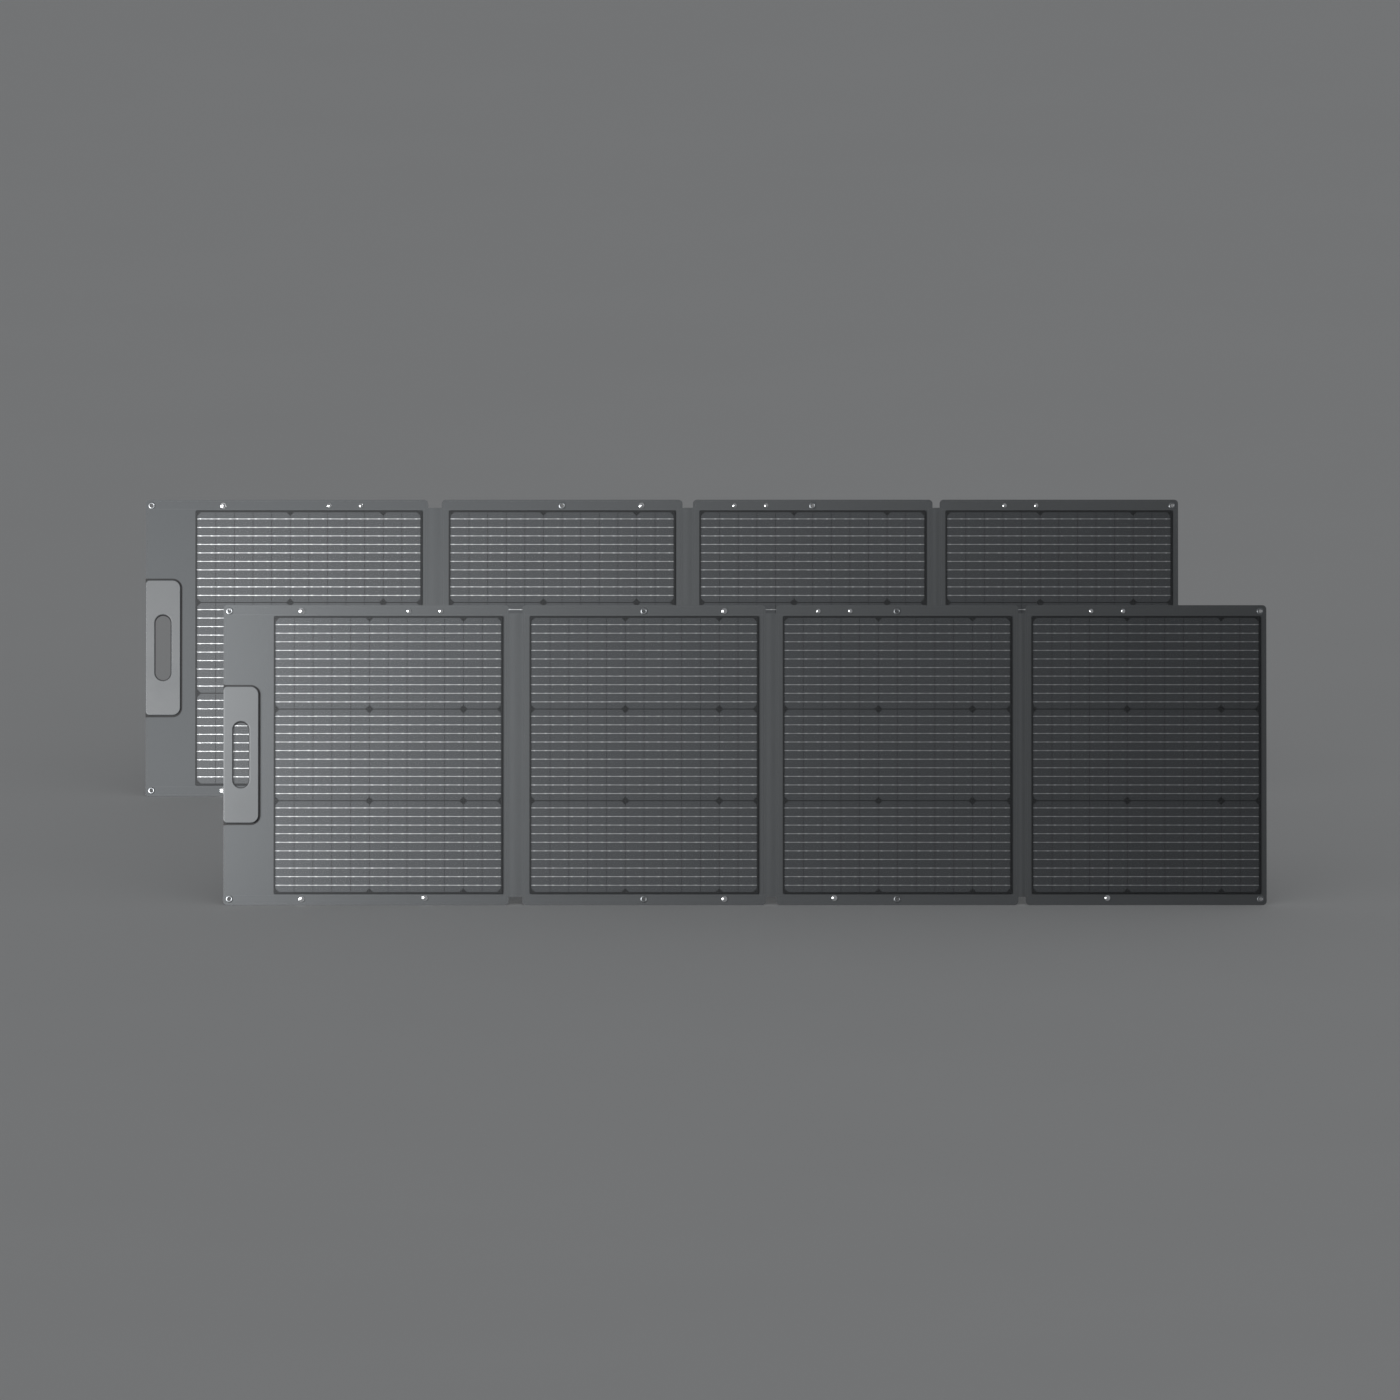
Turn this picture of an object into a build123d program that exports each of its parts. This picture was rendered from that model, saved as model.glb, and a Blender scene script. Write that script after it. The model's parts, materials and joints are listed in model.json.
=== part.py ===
"""Solar suitcase kit: two identical four-leaf folding solar panels, standing open on their back stands.

A unit is drawn flat first: X runs across it from its left edge, Y up from its bottom edge, and Z
out of its face, with Z = 0 on the front of the canvas. It is then tilted back and set on the ground.
Leaf 1 carries the handle. Leaf 4 folds over leaf 3, both fold over leaf 2, and leaf 1 closes on them.
"""
import os
from math import asin, atan2, cos, degrees, hypot, radians, sin, sqrt

from build123d import *

# Solar cells: square wafers cut into upright strips, soldered side by side into three rows
wafer_size = 182.0
strips_per_wafer = 5
strip_columns = 12
cell_rows = 3
strip_gap = 1.0
row_gap = 2.0
wafer_chamfer = 7.0
cell_thickness = 0.3

# Laminate board under the cells, and the room kept for the clear film over them
board_rim = 4.0
board_thickness = 2.0
board_corner = 3.0
film_thickness = 0.3

# Canvas
canvas_thickness = 0.8
side_margin = 15.85          # canvas beside the cells, up to the crease
edge_margin = 26.0           # canvas above and below the cells
handle_zone = 83.0           # what leaf 1 has beyond the closed stack
nesting_step = 2.5           # each leaf is this much narrower than the one it folds onto
crease_gap = 0.1
sheet_corner = 8.0

# Folds: each strip is as wide as the leaves that lie between its two creases need
last_fold_width = 14.0
stack_clearance = 0.7
notch_depth = 16.5

# Stands: flat legs that hang from the back near the top edge
stand_width = 90.0
stand_foot_inset = 24.0      # from the lower edge, when it is closed
stand_thickness = 2.2
stand_gap = 0.2
stand_hinge_below_rivets = 12.0
stand_corner = 8.0
stand_offset = {1: 73.0, 3: -125.0, 4: -77.0}   # from the middle of that leaf's cells

# Press studs, rivets and eyelets along the edges
edge_inset = 12.0
bottom_stud_inset = 14.0
stud_radius, stud_height, stud_shank = 6.0, 2.0, 2.2
rivet_radius, rivet_height, rivet_shank = 4.5, 1.6, 1.8
rim_share = 0.4              # of a cap's height that is its upright rim
washer_height = 1.2
rivet_spacing = 63.5
closing_stud_offset = {1: -172.0, 2: 160.0}     # from the middle of that leaf's cells
eyelet_radius, eyelet_bore, eyelet_barrel = 7.0, 3.5, 4.4
eyelet_flange = 1.0
fastener_clearance = 0.05

# Handle: two moulded shells clamped through the canvas
handle_width = 70.0
handle_length = 274.0
handle_depth = 5.2
handle_wall = 2.0
handle_edge_radius = 1.6
handle_inner_corner, handle_outer_corner = 16.0, 8.0
slot_width = 33.0
slot_length = 134.0
slot_clearance = 1.0
nick_radius = 3.0

# Junction box on the back of leaf 2
box_width, box_height, box_depth = 120.0, 74.0, 14.0
box_wall = 2.0
box_corner = 6.0
lid_thickness = 3.0
lid_chamfer = 1.0
box_below_top = 60.0
gland_radius, gland_bore, gland_length = 6.5, 3.2, 14.0

# How the kit stands
tilt = 72.0                  # of each sheet, above the ground
row_spacing = 1200.0         # from the front unit back to the rear one
row_shift = -166.0           # of the rear unit, to the left

leaves = (1, 2, 3, 4)
folds = ("a", "b", "c")
standing_leaves = tuple(stand_offset)

strip_width = wafer_size / strips_per_wafer
field_width = strip_columns * strip_width + (strip_columns - 1) * strip_gap
field_height = cell_rows * wafer_size + (cell_rows - 1) * row_gap
sheet_height = field_height + 2 * edge_margin
face_height = board_thickness + cell_thickness + film_thickness
back_depth = canvas_thickness + stand_gap + stand_thickness
leaf_step = face_height + back_depth + stack_clearance

leaf_width = {4: field_width + 2 * side_margin}
for number in (3, 2):
    leaf_width[number] = leaf_width[number + 1] + nesting_step
leaf_width[1] = leaf_width[2] + handle_zone

fold_width = {"c": last_fold_width}
fold_width["b"] = fold_width["c"] + leaf_step
fold_width["a"] = fold_width["b"] + leaf_step

leaf_left = {1: 0.0}
for number, fold in zip((2, 3, 4), folds):
    leaf_left[number] = leaf_left[number - 1] + leaf_width[number - 1] + fold_width[fold]
leaf_right = {number: leaf_left[number] + leaf_width[number] for number in leaves}
sheet_width = leaf_right[4]
fold_span = {fold: (leaf_right[number], leaf_left[number + 1]) for number, fold in zip(leaves, folds)}

field_centre = {number: (leaf_left[number] + leaf_right[number]) / 2 for number in (2, 3, 4)}
field_centre[1] = leaf_right[1] - side_margin - field_width / 2

fastener_row = sheet_height - edge_inset
stand_hinge_height = fastener_row - stand_hinge_below_rivets
stand_hinge_depth = -canvas_thickness
stand_length = stand_hinge_height - stand_foot_inset
handle_centre = (handle_width / 2, sheet_height / 2)
box_centre = (field_centre[2], sheet_height - box_below_top - box_height / 2)

eyelet_column = {1: edge_inset, 2: field_centre[2], 3: field_centre[3], 4: sheet_width - edge_inset}
stand_centre = {number: field_centre[number] + stand_offset[number] for number in standing_leaves}
closing_stud = {number: field_centre[number] + offset for number, offset in closing_stud_offset.items()}

# The lower back edge of the canvas rests on the ground
ground_lift = canvas_thickness * cos(radians(tilt))


def open_angle():
    """Degrees that a stand opens from the sheet until the lower edge of its foot meets the ground."""
    c, s = cos(radians(tilt)), sin(radians(tilt))
    hinge_z = stand_hinge_height * s + stand_hinge_depth * c + ground_lift
    reach = hypot(stand_length, stand_gap)
    below_level = atan2(stand_gap, stand_length) + asin(hinge_z / reach)
    return 180.0 - tilt - degrees(below_level)


stand_opening = open_angle()


def kit_depth():
    """From the front edge of the front unit to the rearmost edge of a rear stand's foot."""
    c, s = cos(radians(tilt)), sin(radians(tilt))
    lean = radians(tilt + stand_opening)
    hinge_y = stand_hinge_height * c - stand_hinge_depth * s
    foot_y = hinge_y - stand_length * cos(lean) + (stand_gap + stand_thickness) * sin(lean)
    return row_spacing + foot_y


middle_x = (row_shift + sheet_width) / 2
middle_y = kit_depth() / 2
unit_place = {
    "front": (-middle_x, -middle_y, ground_lift),
    "rear": (row_shift - middle_x, row_spacing - middle_y, ground_lift),
}


def plate(face, low, high):
    """A flat face turned into a plate between two heights."""
    return Pos(0, 0, low) * extrude(face, high - low)


def eyelet_places(number):
    """Where the two eyelets of a leaf go."""
    return [(eyelet_column[number], edge_inset), (eyelet_column[number], fastener_row)]


def stud_places(number):
    """Where the large press studs go on a leaf."""
    places = []
    if number in closing_stud:
        places += [(closing_stud[number], edge_inset), (closing_stud[number], fastener_row)]
    if number in standing_leaves:
        places.append((stand_centre[number], bottom_stud_inset))
    return places


def rivet_places(number):
    """Where the pair of rivets that hold a stand go on a leaf."""
    if number not in standing_leaves:
        return []
    return [(stand_centre[number] + side * rivet_spacing / 2, fastener_row) for side in (-1, 1)]


def slot_face(grow=0.0):
    """The finger slot of the handle, grown by a clearance."""
    slot = SlotOverall(slot_length + 2 * grow, slot_width + 2 * grow, rotation=90)
    return Pos(*handle_centre) * slot


def holes(places, radius):
    """Round holes through the canvas at some places."""
    return [Pos(x, y) * Circle(radius) for x, y in places]


def canvas(number):
    """The canvas of one leaf, with its fastener holes, and with the handle's slot and nicks on leaf 1."""
    left = leaf_left[number] + (crease_gap if number > 1 else 0.0)
    right = leaf_right[number] - (crease_gap if number < 4 else 0.0)
    outline = RectangleRounded(right - left, sheet_height, sheet_corner)
    face = Pos((left + right) / 2, sheet_height / 2) * outline
    face -= holes(eyelet_places(number), eyelet_barrel + fastener_clearance)
    face -= holes(stud_places(number), stud_shank + fastener_clearance)
    if number in standing_leaves:
        face -= holes(rivet_places(number), rivet_shank + fastener_clearance)
    if number == 1:
        ends = [handle_centre[1] + side * (handle_length / 2 + nick_radius) for side in (-1, 1)]
        face -= holes([(0.0, end) for end in ends], nick_radius)
        face -= slot_face(slot_clearance)
    return plate(face, -canvas_thickness, 0.0)


def fold_strip(fold):
    """The canvas strip between two creases, which stops short of the sheet's edges."""
    left, right = fold_span[fold]
    strip = Rectangle(right - left - 2 * crease_gap, sheet_height - 2 * notch_depth)
    return plate(Pos((left + right) / 2, sheet_height / 2) * strip, -canvas_thickness, 0.0)


def board(number):
    """The stiff board that the cells are laminated to."""
    outline = RectangleRounded(field_width + 2 * board_rim, field_height + 2 * board_rim, board_corner)
    return plate(Pos(field_centre[number], sheet_height / 2) * outline, 0.0, board_thickness)


def cell_strip(starts_wafer, ends_wafer):
    """One strip of a wafer about its middle; the wafer's cut corners are on its first and last strips."""
    strip = extrude(Rectangle(strip_width, wafer_size), cell_thickness)
    upright = strip.edges().filter_by(Axis.Z).sort_by(Axis.X)
    if starts_wafer:
        strip = chamfer(upright[:2], wafer_chamfer)
        upright = strip.edges().filter_by(Axis.Z).sort_by(Axis.X)
    if ends_wafer:
        strip = chamfer(upright[-2:], wafer_chamfer)
    return strip


def cells(number):
    """All the cell strips of one leaf, each a solid of its own."""
    first_x = field_centre[number] - field_width / 2 + strip_width / 2
    first_y = edge_margin + wafer_size / 2
    placed = []
    for column in range(strip_columns):
        starts_wafer = column % strips_per_wafer == 0
        ends_wafer = (column + 1) % strips_per_wafer == 0 or column == strip_columns - 1
        strip = cell_strip(starts_wafer, ends_wafer)
        x = first_x + column * (strip_width + strip_gap)
        for row in range(cell_rows):
            placed.append(Pos(x, first_y + row * (wafer_size + row_gap), board_thickness) * strip)
    return placed


def button(radius, height, shank):
    """A domed fastener through the canvas: cap on the face, shank, and a washer on the back."""
    rim = height * rim_share
    rise = height - rim
    ball = (radius**2 + rise**2) / (2 * rise)
    shoulder = (radius / 2, height - ball + sqrt(ball**2 - radius**2 / 4))
    back = -canvas_thickness
    foot = back - washer_height
    cap_corners = [(shank, 0), (radius, 0), (radius, rim)]
    washer_corners = [(0, foot), (radius, foot), (radius, back), (shank, back)]
    sides = Polyline((0, height), *washer_corners, *cap_corners)
    dome = ThreePointArc((radius, rim), shoulder, (0, height))
    return revolve(Plane.XZ * make_face([sides, dome]), Axis.Z)


def studs(number):
    """The press studs and rivets of one leaf."""
    stud = button(stud_radius, stud_height, stud_shank)
    rivet = button(rivet_radius, rivet_height, rivet_shank)
    return [Pos(x, y) * stud for x, y in stud_places(number)] + [
        Pos(x, y) * rivet for x, y in rivet_places(number)
    ]


def eyelets(number):
    """The eyelets of one leaf: a barrel through the canvas, with a flange on each side."""
    length = canvas_thickness + 2 * eyelet_flange
    flange_height = (length - eyelet_flange) / 2
    ring = Cylinder(eyelet_barrel, length)
    for side in (-1, 1):
        ring += Pos(0, 0, side * flange_height) * Cylinder(eyelet_radius, eyelet_flange)
    ring -= Cylinder(eyelet_bore, length)
    return [Pos(x, y, -canvas_thickness / 2) * ring for x, y in eyelet_places(number)]


def handle_outline(inset=0.0):
    """The handle's outline: small corners at the sheet's edge, larger ones on the inner side."""
    width, length = handle_width - 2 * inset, handle_length - 2 * inset
    face = Rectangle(width, length)
    corners = face.vertices().sort_by(Axis.X)
    face = fillet(corners[:2], handle_outer_corner - inset)
    corners = [corner for corner in face.vertices() if corner.X > width / 2 - handle_wall]
    face = fillet(corners, handle_inner_corner - inset)
    return Pos(*handle_centre) * face


def handle_shell(side):
    """One moulded half of the handle: hollow towards the canvas, with a wall around it and the slot."""
    solid = extrude(handle_outline() - slot_face(), handle_depth)
    solid = fillet(solid.faces().sort_by(Axis.Z)[-1].edges(), handle_edge_radius)
    solid -= extrude(handle_outline(handle_wall) - slot_face(handle_wall), handle_depth - handle_wall)
    if side == "back":
        return Pos(0, 0, -canvas_thickness) * mirror(solid, Plane.XY)
    return solid


def stand(number):
    """One stand, drawn closed against the back of its leaf and then opened about its top edge."""
    outline = RectangleRounded(stand_width, stand_length, stand_corner)
    face = Pos(stand_centre[number], stand_hinge_height - stand_length / 2) * outline
    near_side = stand_hinge_depth - stand_gap
    leg = plate(face, near_side - stand_thickness, near_side)
    hinge = Axis((0, stand_hinge_height, stand_hinge_depth), (1, 0, 0))
    return leg.rotate(hinge, stand_opening)


def junction_box():
    """The box on the back of leaf 2, with a cable gland at its lower side."""
    back = -canvas_thickness
    place = Pos(*box_centre)
    outline = RectangleRounded(box_width, box_height, box_corner)
    inner = RectangleRounded(box_width - 2 * box_wall, box_height - 2 * box_wall, box_corner - box_wall)
    body = plate(place * outline, back - box_depth, back)
    body -= plate(place * inner, back - box_depth, back - box_wall)
    lower_side = Pos(box_centre[0], box_centre[1] - box_height / 2, back - box_depth / 2) * Rot(90, 0, 0)
    body += lower_side * Pos(0, 0, gland_length / 2) * Cylinder(gland_radius, gland_length)
    bore_length = gland_length + box_wall
    return body - lower_side * Pos(0, 0, gland_length - bore_length / 2) * Cylinder(gland_bore, bore_length)


def junction_lid():
    """The flat lid that closes the junction box."""
    outline = Pos(*box_centre) * RectangleRounded(box_width, box_height, box_corner)
    inside = -canvas_thickness - box_depth
    lid = plate(outline, inside - lid_thickness, inside)
    return chamfer(lid.faces().sort_by(Axis.Z)[0].edges(), lid_chamfer)


def draw_unit():
    """Every piece of one unit, drawn flat, by name."""
    drawn = {}
    for number in leaves:
        drawn[f"canvas_{number}"] = [canvas(number)]
        drawn[f"board_{number}"] = [board(number)]
        drawn[f"cells_{number}"] = cells(number)
        drawn[f"studs_{number}"] = studs(number)
        drawn[f"eyelets_{number}"] = eyelets(number)
    for fold in folds:
        drawn[f"fold_{fold}"] = [fold_strip(fold)]
    for number in standing_leaves:
        drawn[f"stand_{number}"] = [stand(number)]
    for side in ("front", "back"):
        drawn[f"handle_{side}"] = [handle_shell(side)]
    drawn["junction_box"] = [junction_box()]
    drawn["junction_lid"] = [junction_lid()]
    return drawn


def main():
    os.makedirs("parts", exist_ok=True)
    drawn = draw_unit()
    for unit, shift in unit_place.items():
        place = Pos(*shift) * Rot(tilt, 0, 0)
        for name, shapes in drawn.items():
            solids = [solid for shape in shapes for solid in shape.solids()]
            export_step(place * Compound(children=solids), f"parts/{unit}_{name}.step")


if __name__ == "__main__":
    main()
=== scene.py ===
import json
import math

import bmesh
import bpy
from mathutils import Matrix, Vector


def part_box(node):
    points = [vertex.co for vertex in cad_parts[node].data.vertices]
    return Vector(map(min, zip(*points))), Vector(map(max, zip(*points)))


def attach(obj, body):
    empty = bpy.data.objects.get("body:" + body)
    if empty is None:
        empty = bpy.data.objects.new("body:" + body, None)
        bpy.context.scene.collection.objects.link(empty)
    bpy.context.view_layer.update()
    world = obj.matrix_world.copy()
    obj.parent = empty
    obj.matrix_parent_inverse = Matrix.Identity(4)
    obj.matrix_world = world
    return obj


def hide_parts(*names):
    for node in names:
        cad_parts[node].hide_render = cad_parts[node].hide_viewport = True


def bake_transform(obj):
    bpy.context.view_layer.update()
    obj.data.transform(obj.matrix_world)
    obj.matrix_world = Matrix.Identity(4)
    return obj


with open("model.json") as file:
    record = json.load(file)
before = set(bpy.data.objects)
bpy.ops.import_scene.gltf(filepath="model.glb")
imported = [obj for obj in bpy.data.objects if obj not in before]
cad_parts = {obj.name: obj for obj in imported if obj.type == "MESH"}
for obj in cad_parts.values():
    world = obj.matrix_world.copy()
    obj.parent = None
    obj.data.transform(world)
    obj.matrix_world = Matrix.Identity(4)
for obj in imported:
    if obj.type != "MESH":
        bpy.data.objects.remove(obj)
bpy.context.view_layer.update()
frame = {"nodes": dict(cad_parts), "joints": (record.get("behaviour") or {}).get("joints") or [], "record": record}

print("stage: frame loaded")

# A unit is made lying flat: x from its left edge, y up from its lower edge, z out of its face,
# with z = 0 on the front of the canvas. Each finished piece is then turned onto both units.
units = ("front", "rear")
leaves = (1, 2, 3, 4)
folds = {"a": (2, 1), "b": (2, 3), "c": (3, 4)}   # the leaf on each side, the one nearer leaf 2 first
standLeaves = (1, 3, 4)
joints = {joint["name"]: joint for joint in frame["joints"]}
upSheet = Vector(joints["front_crease_a_near"]["axis"])
tilt = math.atan2(upSheet.z, upSheet.y)
standOpening = math.radians(joints["front_stand_1_hinge"]["range_deg"][1])
mm = 0.001


def cornerOf(unit):
    crease = Vector(joints[unit + "_crease_a_near"]["pos_m"])
    middle = Vector((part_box(unit + "_canvas_1")[0].x, crease.y, crease.z))
    return middle - upSheet * sheet["height"] / 2


def flatPoint(point, unit="front"):      # a row-frame point, in the flat frame of that unit
    offset = Vector(point) - cornerOf(unit)
    return Matrix.Rotation(-tilt, 3, "X") @ offset


def rowPoint(point, unit="front"):       # and back again
    return cornerOf(unit) + Matrix.Rotation(tilt, 3, "X") @ Vector(point)


sheet = {"thick": 0.8 * mm, "corner": 8 * mm}
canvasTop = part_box("front_canvas_1")[1].z
canvasLift = sheet["thick"] * math.cos(tilt)
sheet["height"] = (canvasTop - canvasLift) / math.sin(tilt)


def spanOf(node):                        # left and right edge of a node, in the flat frame
    low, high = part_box("front_" + node)
    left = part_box("front_canvas_1")[0].x
    return low.x - left, high.x - left


leafSpan = {leaf: spanOf(f"canvas_{leaf}") for leaf in leaves}
boardSpan = {leaf: spanOf(f"board_{leaf}") for leaf in leaves}
fieldMiddle = {leaf: sum(boardSpan[leaf]) / 2 for leaf in leaves}


# Shader helpers: sums are written as Python, and every other node comes from one method
class Wire:
    def __init__(self, tree, socket):
        self.tree = tree
        self.socket = socket

    def maths(self, operation, first, second=0.0):
        node = self.tree.nodes.new("ShaderNodeMath")
        node.operation = operation
        for index, value in enumerate((first, second)):
            if isinstance(value, Wire):
                self.tree.links.new(value.socket, node.inputs[index])
            else:
                node.inputs[index].default_value = value
        return Wire(self.tree, node.outputs[0])

    def __add__(self, other):
        return self.maths("ADD", self, other)

    def __sub__(self, other):
        return self.maths("SUBTRACT", self, other)

    def __rsub__(self, other):
        return self.maths("SUBTRACT", other, self)

    def __mul__(self, other):
        return self.maths("MULTIPLY", self, other)

    def __abs__(self):
        return self.maths("ABSOLUTE", self)

    def __gt__(self, other):
        return self.maths("GREATER_THAN", self, other)

    __radd__ = __add__


class Finish:
    def __init__(self, name, colour, **fixed):
        self.material = bpy.data.materials.new(name)
        self.material.use_nodes = True
        self.tree = self.material.node_tree
        self.shader = self.tree.nodes["Principled BSDF"]
        self.colour = (*colour, 1.0)
        self.set("Base Color", self.colour)
        for socket, value in fixed.items():
            self.set(socket.replace("_", " "), value)

    def set(self, socket, value):
        if isinstance(value, Wire):
            self.tree.links.new(value.socket, self.shader.inputs[socket])
        else:
            self.shader.inputs[socket].default_value = value

    def node(self, kind, settings, values, output=0):
        node = self.tree.nodes.new("ShaderNode" + kind)
        for name, value in settings.items():
            if name == "stops":
                ramp = node.color_ramp
                for index, (at, grey) in enumerate(value):
                    stop = ramp.elements[index] if index < 2 else ramp.elements.new(at)
                    stop.position = at
                    stop.color = (grey, grey, grey, 1.0)
            else:
                setattr(node, name, value)
        for socket, value in values.items():
            if isinstance(value, Wire):
                self.tree.links.new(value.socket, node.inputs[socket])
            else:
                node.inputs[socket].default_value = value
        return Wire(self.tree, node.outputs[output])

    def place(self, turn=0.0):           # object coordinates, turned so that y runs up the piece
        point = self.node("TexCoord", {}, {}, "Object")
        return self.node("Mapping", {}, {"Vector": point, "Rotation": (turn, 0.0, 0.0)})

    def axes(self, point):
        return [self.node("SeparateXYZ", {}, {"Vector": point}, axis) for axis in "XYZ"]

    def noise(self, point, scale, detail=2.0):
        return self.node("TexNoise", {}, {"Vector": point, "Scale": scale, "Detail": detail})

    def tint(self, factor, low, high):   # a grey factor between two shades of the finish's colour
        shades = [tuple(part * shade for part in self.colour[:3]) + (1.0,) for shade in (low, high)]
        mix = {"data_type": "RGBA"}
        colour = self.node("Mix", mix, {0: factor, 6: shades[0], 7: shades[1]}, 2)
        self.set("Base Color", colour)
        return colour

    def bump(self, height, depth, strength=1.0):
        values = {"Height": height, "Distance": depth, "Strength": strength}
        self.set("Normal", self.node("Bump", {}, values))


# Finishes
def clothFinish(name, colour, turn, yarn=0.9 * mm, shade=(0.86, 1.12), **fixed):
    cloth = Finish(name, colour, Roughness=0.78, Sheen_Weight=0.25, Sheen_Roughness=0.45, **fixed)
    point = cloth.place(turn)
    across, along, _ = cloth.axes(point)
    warp = across.maths("SINE", across * (math.pi / yarn))
    weft = along.maths("SINE", along * (math.pi / yarn))
    over = warp * weft > 0.0
    weave = over * abs(weft) + (1 - over) * abs(warp)
    cloud = cloth.noise(point, 9.0, 4.0)
    slub = cloth.noise(point, 420.0)
    cloth.tint(cloud * 0.5 + slub * 0.3 + weave * 0.2, *shade)
    cloth.set("Roughness", 0.70 + cloud * 0.16)
    cloth.bump(weave * 0.6 + slub * 0.4, 0.22 * mm, 0.8)
    return cloth.material


def webbingFinish(name, colour, turn):
    webbing = Finish(name, colour, Roughness=0.72, Sheen_Weight=0.2)
    point = webbing.place(turn)
    across, along, _ = webbing.axes(point)
    rib = abs(along.maths("SINE", along * (math.pi / (1.4 * mm))))
    edge = abs(across.maths("SINE", across * (math.pi / (2.6 * mm))))
    grain = webbing.noise(point, 300.0)
    webbing.tint(rib * 0.4 + edge * 0.2 + grain * 0.4, 0.75, 1.2)
    webbing.bump(rib * 0.7 + edge * 0.3, 0.3 * mm, 0.9)
    return webbing.material


def plasticFinish(name, colour, roughness, grain, depth, turn=0.0, **fixed):
    plastic = Finish(name, colour, Roughness=roughness, **fixed)
    point = plastic.place(turn)
    fine = plastic.node("TexVoronoi", {"feature": "SMOOTH_F1"}, {"Vector": point, "Scale": grain})
    wide = plastic.noise(point, 14.0, 5.0)
    scuff = plastic.node("ValToRGB", {"stops": ((0.52, 0.0), (0.66, 1.0))}, {"Fac": wide})
    plastic.tint(wide * 0.7 + fine * 0.3, 0.9, 1.1)
    plastic.set("Roughness", roughness + (fine - 0.4) * 0.12 + scuff * 0.06)
    plastic.bump(fine, depth)
    return plastic.material


def metalFinish(name, colour, roughness, turn=0.0, **fixed):
    metal = Finish(name, colour, Metallic=1.0, Roughness=roughness, **fixed)
    point = metal.place(turn)
    cloud = metal.noise(point, 130.0, 4.0)
    fine = metal.noise(point, 900.0, 2.0)
    metal.tint(cloud, 0.86, 1.06)
    metal.set("Roughness", roughness + (cloud - 0.4) * 0.22)
    metal.bump(fine, 0.02 * mm, 0.5)
    return metal.material


def siliconFinish():
    silicon = Finish("silicon", look["silicon"], Roughness=0.4, Specular_IOR_Level=0.3)
    point = silicon.place(-tilt)
    across, along, _ = silicon.axes(point)
    finger = across.maths("SINE", across * (2 * math.pi / cell["fingerPitch"]))
    cloud = silicon.noise(point, 5.0, 3.0)
    speck = silicon.noise(point, 240.0, 3.0)
    silicon.tint(cloud * 0.5 + speck * 0.4 + finger * 0.06, 0.80, 1.20)
    silicon.set("Roughness", 0.34 + cloud * 0.12)
    return silicon.material


def filmFinish():
    film = Finish("clearFilm", look["film"], Roughness=0.34, Alpha=0.03, IOR=1.4)
    point = film.place(-tilt)
    dimple = film.node("TexVoronoi", {"feature": "SMOOTH_F1"}, {"Vector": point, "Scale": 520.0})
    cloud = film.noise(point, 7.0, 3.0)
    film.set("Roughness", 0.30 + cloud * 0.16)
    film.bump(dimple, 0.03 * mm, 0.25)
    return film.material


look = {
    "canvas": (0.073, 0.078, 0.082),
    "standCloth": (0.056, 0.059, 0.062),
    "webbing": (0.028, 0.029, 0.031),
    "thread": (0.130, 0.136, 0.142),
    "board": (0.008, 0.009, 0.010),
    "silicon": (0.045, 0.049, 0.053),
    "busbar": (0.58, 0.59, 0.60),
    "film": (0.30, 0.31, 0.32),
    "handle": (0.075, 0.080, 0.084),
    # painted shade: near-black colour for the band round the handle and the sleeve in its slot, which stand in for
    # shade lines
    "gasket": (0.008, 0.008, 0.009),
    "box": (0.022, 0.022, 0.024),
    "chrome": (0.86, 0.87, 0.88),
    "eyelet": (0.24, 0.25, 0.26),
}

cell = {
    "width": 36.4 * mm, "height": 182 * mm, "thick": 0.3 * mm, "gap": 1 * mm, "rowGap": 2 * mm,
    "columns": 12, "rows": 3, "perWafer": 5, "chamfer": 7 * mm, "edge": 0.06 * mm,
    "floor": 2.0 * mm, "fingerPitch": 1.5 * mm,
}

finishes = {
    "canvas": clothFinish("canvasCloth", look["canvas"], -tilt),
    "standCloth": clothFinish("standCloth", look["standCloth"], -tilt - standOpening, 1.0 * mm),
    "webbing": webbingFinish("strapWebbing", look["webbing"], -tilt),
    "thread": clothFinish("sewingThread", look["thread"], -tilt, 0.5 * mm),
    "board": plasticFinish(
        "boardLaminate", look["board"], 0.46, 500.0, 0.05 * mm, -tilt, Specular_IOR_Level=0.15),
    "silicon": siliconFinish(),
    "busbar": metalFinish("busbarSolder", look["busbar"], 0.36),
    "film": filmFinish(),
    "handle": plasticFinish("handlePlastic", look["handle"], 0.42, 900.0, 0.06 * mm, -tilt),
    # painted shade: the finish of the dark band and sleeve that stand in for the handle's shade lines
    "gasket": plasticFinish("gasketRubber", look["gasket"], 0.7, 700.0, 0.04 * mm),
    "box": plasticFinish("boxPlastic", look["box"], 0.5, 650.0, 0.09 * mm, -tilt),
    "chrome": metalFinish("polishedCaps", look["chrome"], 0.16),
    "eyelet": metalFinish("dullSteel", look["eyelet"], 0.34),
}
print("stage: finishes made")


# Modelling helpers
def deselect():
    if bpy.context.object and bpy.context.object.mode != "OBJECT":
        bpy.ops.object.mode_set(mode="OBJECT")
    bpy.ops.object.select_all(action="DESELECT")


def pick(*pieces):
    deselect()
    for piece in pieces:
        piece.select_set(True)
    bpy.context.view_layer.objects.active = pieces[0]


def settle(piece):                       # its place goes into its mesh
    pick(piece)
    bpy.ops.object.transform_apply(location=True, rotation=True, scale=True)
    return piece


def copyOf(piece, name):
    twin = piece.copy()
    twin.data = piece.data.copy()
    twin.name = name
    bpy.context.scene.collection.objects.link(twin)
    return twin


def join(pieces, name):
    pick(*pieces)
    if len(pieces) > 1:
        bpy.ops.object.join()
    piece = bpy.context.object
    piece.name = name
    return piece


def shift(piece, x=0.0, y=0.0, z=0.0):
    piece.location = (x, y, z)
    return settle(piece)


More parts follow.
